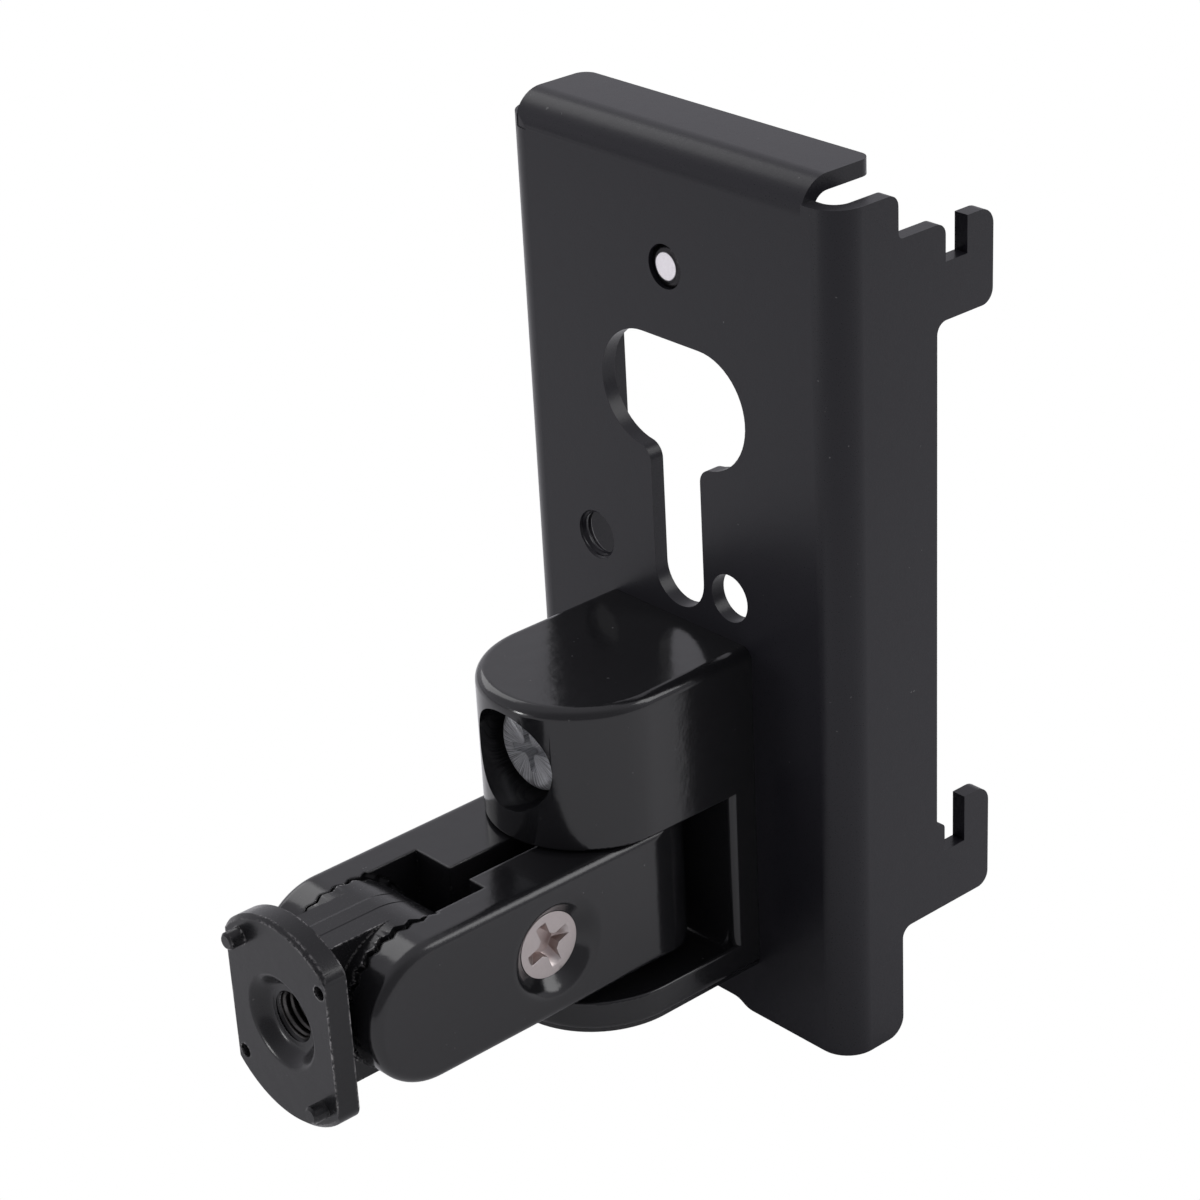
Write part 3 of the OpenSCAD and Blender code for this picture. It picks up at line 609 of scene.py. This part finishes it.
def use_group(tree, group, **values):
    """Places a node group and sets its named inputs."""
    node = tree.nodes.new("ShaderNodeGroup")
    node.node_tree = group
    for label, value in values.items():
        node.inputs[label.replace("_", " ")].default_value = value
    return node


def bump(tree, shader, height, distance, strength=1.0):
    """Feeds height into the shader's normal through a Bump node."""
    node = tree.nodes.new("ShaderNodeBump")
    node.inputs["Distance"].default_value = distance
    node.inputs["Strength"].default_value = strength
    tree.links.new(height, node.inputs["Height"])
    tree.links.new(node.outputs["Normal"], shader.inputs["Normal"])
    return node


def mix_color(tree, factor, first, second):
    """Mix of two colours, each a socket or three numbers."""
    node = tree.nodes.new("ShaderNodeMix")
    node.data_type = "RGBA"
    tree.links.new(factor, node.inputs["Factor"])
    for socket, value in ((node.inputs[6], first), (node.inputs[7], second)):
        if isinstance(value, tuple):
            socket.default_value = (*value, 1)
        else:
            tree.links.new(value, socket)
    return node.outputs[2]


def vary(tree, value, low, high):
    """Maps a noise value, which stays near 0.5, to low..high."""
    node = tree.nodes.new("ShaderNodeMapRange")
    tree.links.new(value, node.inputs["Value"])
    node.inputs["From Min"].default_value = 0.3
    node.inputs["From Max"].default_value = 0.7
    node.inputs["To Min"].default_value = low
    node.inputs["To Max"].default_value = high
    return node.outputs["Result"]


def object_axes(tree, centre=(0, 0, 0)):
    """X, Y and Z of the shaded point, in metres from centre."""
    place = tree.nodes.new("ShaderNodeTexCoord")
    shift = tree.nodes.new("ShaderNodeVectorMath")
    shift.operation = "SUBTRACT"
    tree.links.new(place.outputs["Object"], shift.inputs[0])
    shift.inputs[1].default_value = centre
    split = tree.nodes.new("ShaderNodeSeparateXYZ")
    tree.links.new(shift.outputs["Vector"], split.inputs["Vector"])
    return split.outputs["X"], split.outputs["Y"], split.outputs["Z"]


def middle_of(node):
    """Middle of a CAD node's box, in metres."""
    corners = [Vector(corner) for corner in nodes[node].bound_box]
    return sum(corners, Vector()) / len(corners)


print("helpers:", new_material.__name__, use_group.__name__, bump.__name__,
      mix_color.__name__, vary.__name__, object_axes.__name__, middle_of.__name__)

# %% [markdown]
# The plate is powder coated: a satin film with a very fine grain. Its gloss is low and even,
# so the flat front reads as one soft dark grey with a slow change across it. The colour is
# almost neutral, a little blue, and wear is rare, because the plate is hardly ever handled.

# %% Satin black powder coat
def make_satin_black():
    """Powder coat of the folded plate."""
    material, tree, shader = new_material("satin_black", (0.0115, 0.0112, 0.0145), 0.31,
                                          specular=0.3)
    peel = use_group(tree, orange_peel, Wave_Scale=420, Dimple_Scale=2600, Dimples=0.6)
    grain = use_group(tree, grit, Grain_Scale=6500, Speck_Scale=1300, Speck_Level=0.79)
    wear = use_group(tree, edge_wear, Chip_Scale=1500, Amount=0.15)
    color = mix_color(tree, grain.outputs["Grain"], (0.0092, 0.0089, 0.0118),
                      (0.014, 0.0135, 0.0172))
    dusty = mix_color(tree, grain.outputs["Specks"], color, (0.1, 0.1, 0.1))
    worn = mix_color(tree, wear.outputs["Mask"], dusty, (0.3, 0.3, 0.3))
    tree.links.new(worn, shader.inputs["Base Color"])
    tree.links.new(vary(tree, grain.outputs["Grain"], 0.26, 0.36), shader.inputs["Roughness"])
    bump(tree, shader, peel.outputs["Height"], 0.02 * MM, 0.5)
    return material


satin_black = make_satin_black()
print("material:", satin_black.name)

# %% [markdown]
# The castings carry a thicker, glossier paint. It chips first along edges, down to bare zinc,
# and most on the adaptor, which has been screwed on and off. The adaptor also keeps the two
# fine steps that its mould left along the neck: a band about a tenth of a millimetre high,
# which a bump shows well enough. One function makes all three paints, so they stay one
# family and differ only in wear, gloss, these steps and the shaded edges of the arms.

# %% Gloss black paint on castings
MOULD_BAND = ((-1.5 * MM, -1.2 * MM), (1.0 * MM, 1.3 * MM))
NECK_START = (3.2 * MM, 3.6 * MM)
MOULD_STEP = 0.12 * MM


def make_gloss_black(name, wear, specular=0.55, roughness=0.15, mould_steps=False,
                     soft_edges=False):
    """Gloss paint over a zinc casting, with chips to bare metal along the edges."""
    material, tree, shader = new_material(name, (0.01, 0.01, 0.011), roughness,
                                          specular=specular)
    peel = use_group(tree, orange_peel, Wave_Scale=420, Dimple_Scale=1900, Dimples=0.3)
    grain = use_group(tree, grit, Grain_Scale=3800, Speck_Scale=1500, Speck_Level=0.79)
    chips = use_group(tree, edge_wear, Chip_Scale=2300, Amount=wear)
    paint = mix_color(tree, grain.outputs["Grain"], (0.008, 0.008, 0.0088), (0.013, 0.013, 0.0142))
    dusty = mix_color(tree, grain.outputs["Specks"], paint, (0.09, 0.09, 0.09))
    color = mix_color(tree, chips.outputs["Mask"], dusty, (0.5, 0.49, 0.48))
    tree.links.new(color, shader.inputs["Base Color"])
    tree.links.new(chips.outputs["Mask"], shader.inputs["Metallic"])
    tree.links.new(vary(tree, grain.outputs["Grain"], roughness - 0.04, roughness + 0.04),
                   shader.inputs["Roughness"])
    skin = bump(tree, shader, peel.outputs["Height"], 0.035 * MM, 0.6)
    if soft_edges:
        rounded = tree.nodes.new("ShaderNodeBevel")
        rounded.samples = 6
        rounded.inputs["Radius"].default_value = EDGE_REACH
        tree.links.new(rounded.outputs["Normal"], skin.inputs["Normal"])
    if mould_steps:
        across, along, _ = object_axes(tree)
        rise = link_range(tree, across, *MOULD_BAND[0], 0.0, 1.0)
        fall = link_range(tree, across, *MOULD_BAND[1], 0.0, 1.0)
        step = math_node(tree, "SUBTRACT", rise, fall)
        face_y = mounts["disc_face"]["pos_m"][1]
        neck = link_range(tree, along, face_y + NECK_START[0], face_y + NECK_START[1], 0.0, 1.0)
        lines = tree.nodes.new("ShaderNodeBump")
        lines.inputs["Distance"].default_value = MOULD_STEP
        lines.inputs["Strength"].default_value = 0.8
        tree.links.new(math_node(tree, "MULTIPLY", step, neck), lines.inputs["Height"])
        tree.links.new(lines.outputs["Normal"], skin.inputs["Normal"])
    return material


gloss_black = make_gloss_black("gloss_black", 0.3)
arm_black = make_gloss_black("arm_gloss_black", 0.55, soft_edges=True)
worn_black = make_gloss_black("worn_gloss_black", 1.0, specular=0.38, roughness=0.24,
                               mould_steps=True)
print("materials:", gloss_black.name, arm_black.name, worn_black.name)

# %% [markdown]
# The pins are bare steel, and the speaker's thread is cut through the paint into the casting,
# and is given a dark metal colour. Both are one kind of surface: metal with soft blotches and a
# fine grain. The function hands back its nodes too, so that the plated screws can build on it.

# %% Plain plated metal
def make_metal(name, dark, light, roughness, scale):
    """Bare or plated metal with soft blotches and a fine grain."""
    material, tree, shader = new_material(name, light, roughness, 1.0)
    grain = use_group(tree, grit, Grain_Scale=scale, Speck_Scale=scale / 3, Speck_Level=0.7)
    color = mix_color(tree, grain.outputs["Grain"], dark, light)
    tree.links.new(color, shader.inputs["Base Color"])
    tree.links.new(vary(tree, grain.outputs["Grain"], roughness - 0.08, roughness + 0.1),
                   shader.inputs["Roughness"])
    bump(tree, shader, grain.outputs["Grain"], 0.02 * MM, 0.4)
    return material, tree, shader, color


pin_steel = make_metal("pin_steel", (0.3, 0.3, 0.31), (0.5, 0.5, 0.51), 0.35, 1800)[0]
cut_thread = make_metal("cut_thread", (0.035, 0.034, 0.033), (0.15, 0.145, 0.14), 0.34, 3200)[0]
print("materials:", pin_steel.name, cut_thread.name)

# %% [markdown]
# The clamp screw is a soft pinkish nickel, and its cross recess is painted brown and dark as
# painted shade. The recess is simply what lies below the face of the head, so the colour
# changes with the distance from that face, which is read from the screw's own points.

# %% Nickel with painted shade in its recess
RECESS_START, RECESS_FULL = 0.3 * MM, 1.0 * MM


def make_nickel_plate():
    """Matte nickel. Below the head's face the recess is painted brown and dark, as painted shade.
    """
    material, tree, shader, color = make_metal(
        "nickel_plate", (0.52, 0.47, 0.455), (0.66, 0.6, 0.58), 0.4, 2600)
    across, _, _ = object_axes(tree)
    head_x = max(vertex.co.x for vertex in nodes["clamp_screw"].data.vertices)
    # The recess gets a darker, browner colour with depth below the face: painted shade.
    painted_shade_depth = link_range(tree, across, head_x - RECESS_START, head_x - RECESS_FULL, 0.0, 1.0)
    recess_painted_shade = mix_color(tree, painted_shade_depth, color, (0.5, 0.42, 0.4))
    tree.links.new(recess_painted_shade, shader.inputs["Base Color"])
    return material


nickel_plate = make_nickel_plate()
print("material:", nickel_plate.name)

# %% [markdown]
# The screw in the yoke is bright zinc, and fine strokes run out from its axis like rays. A
# noise gives them when it is read in polar coordinates: the angle is stretched and the
# distance from the axis is not, so each spot of the noise becomes a ray.

# %% Zinc with strokes that run out from the axis
STROKES_ROUND = 20.0
STROKE_BREAKS = 6000


def make_zinc_plate():
    """Bright zinc on the yoke's screw, brushed by turning."""
    material, tree, shader, color = make_metal(
        "zinc_plate", (0.75, 0.76, 0.78), (0.97, 0.98, 1.0), 0.5, 1500)
    centre = middle_of("yoke_screw")
    across, _, up = object_axes(tree, centre)
    angle = math_node(tree, "ARCTAN2", up, across)
    squares = math_node(tree, "ADD", math_node(tree, "MULTIPLY", up, up),
                        math_node(tree, "MULTIPLY", across, across))
    reach = math_node(tree, "MULTIPLY", squares, STROKE_BREAKS)
    joined = tree.nodes.new("ShaderNodeCombineXYZ")
    tree.links.new(math_node(tree, "MULTIPLY", angle, STROKES_ROUND), joined.inputs["X"])
    tree.links.new(reach, joined.inputs["Y"])
    strokes = tree.nodes.new("ShaderNodeTexNoise")
    tree.links.new(joined.outputs["Vector"], strokes.inputs["Vector"])
    strokes.inputs["Scale"].default_value = 1.6
    strokes.inputs["Detail"].default_value = 5.0
    strokes.inputs["Roughness"].default_value = 0.62
    streaked = mix_color(tree, ramp_node(tree, strokes.outputs["Fac"], 0.42, 0.56),
                         (0.26, 0.26, 0.27), color)
    tree.links.new(streaked, shader.inputs["Base Color"])
    bump(tree, shader, strokes.outputs["Fac"], 0.6 * MM, 1.0)
    return material


zinc_plate = make_zinc_plate()
print("material:", zinc_plate.name)

# %% [markdown]
# The lock screw is black oxide, but its flat end has been scraped bright by whatever it
# presses on. The end and the thread differ by their distance from the axis alone. The thread
# itself is a bump: the height rises and falls once for each pitch along the axis, and shifts
# by one pitch in a full turn, which makes it a helix.

# %% Blackened thread with a bright tip
TIP_EDGE = (1.62 * MM, 1.78 * MM)
THREADS_A_METRE = 1250


def make_lock_finish():
    """Lock screw: bright on its flat end, black oxide with a helix round it."""
    material, tree, shader = new_material("lock_finish", (0.6, 0.59, 0.6), 0.3, 1.0)
    across, along, up = object_axes(tree, middle_of("lock_screw"))
    squares = math_node(tree, "ADD", math_node(tree, "MULTIPLY", across, across),
                        math_node(tree, "MULTIPLY", up, up))
    reach = math_node(tree, "SQRT", squares, 0.0)
    rim = link_range(tree, reach, *TIP_EDGE, 0.0, 1.0)
    grain = use_group(tree, grit, Grain_Scale=2400, Speck_Scale=1500, Speck_Level=0.74)
    bright = mix_color(tree, grain.outputs["Grain"], (0.8, 0.77, 0.79), (0.95, 0.92, 0.94))
    color = mix_color(tree, rim, bright, (0.035, 0.034, 0.036))
    tree.links.new(color, shader.inputs["Base Color"])
    tree.links.new(vary(tree, grain.outputs["Grain"], 0.26, 0.4), shader.inputs["Roughness"])
    turn = math_node(tree, "DIVIDE", math_node(tree, "ARCTAN2", up, across), 2 * math.pi)
    pitches = math_node(tree, "MULTIPLY", along, THREADS_A_METRE)
    helix = math_node(tree, "PINGPONG", math_node(tree, "ADD", pitches, turn), 0.5)
    bump(tree, shader, math_node(tree, "MULTIPLY", helix, rim), 0.5 * MM, 0.9)
    return material


lock_finish = make_lock_finish()
print("material:", lock_finish.name)

# %% [markdown]
# Last, every piece gets its finish. A CAD piece keeps its own material slots, and each slot
# takes the new material. A piece made here gets its material as a single slot; its table
# also lists the slot of the record that it belongs to, which the code does not use.

# %% Give each piece its finish
FINISHES = {"wall_plate": satin_black, "yoke": gloss_black, "arm_left": arm_black,
            "arm_right": arm_black, "speaker_adaptor": worn_black, "clamp_screw": nickel_plate,
            "yoke_screw": zinc_plate, "lock_screw": lock_finish, "swivel_pin": pin_steel,
            "tilt_pin": pin_steel}
NEW_FINISHES = {rounded_adaptor: (worn_black, "gloss_black"),
                dish_skin: (worn_black, "gloss_black"),
                speaker_thread: (cut_thread, "gloss_black"),
                plate_thread: (satin_black, "satin_black")}
for node, finish in FINISHES.items():
    materials = nodes[node].data.materials
    for place in range(len(materials)):
        materials[place] = finish
for piece, (finish, slot) in NEW_FINISHES.items():
    piece.data.materials.clear()
    piece.data.materials.append(finish)
print("finishes on", len(FINISHES) + len(NEW_FINISHES), "pieces")

# %% [markdown]

# %% End of the dressing
print("dressing done")
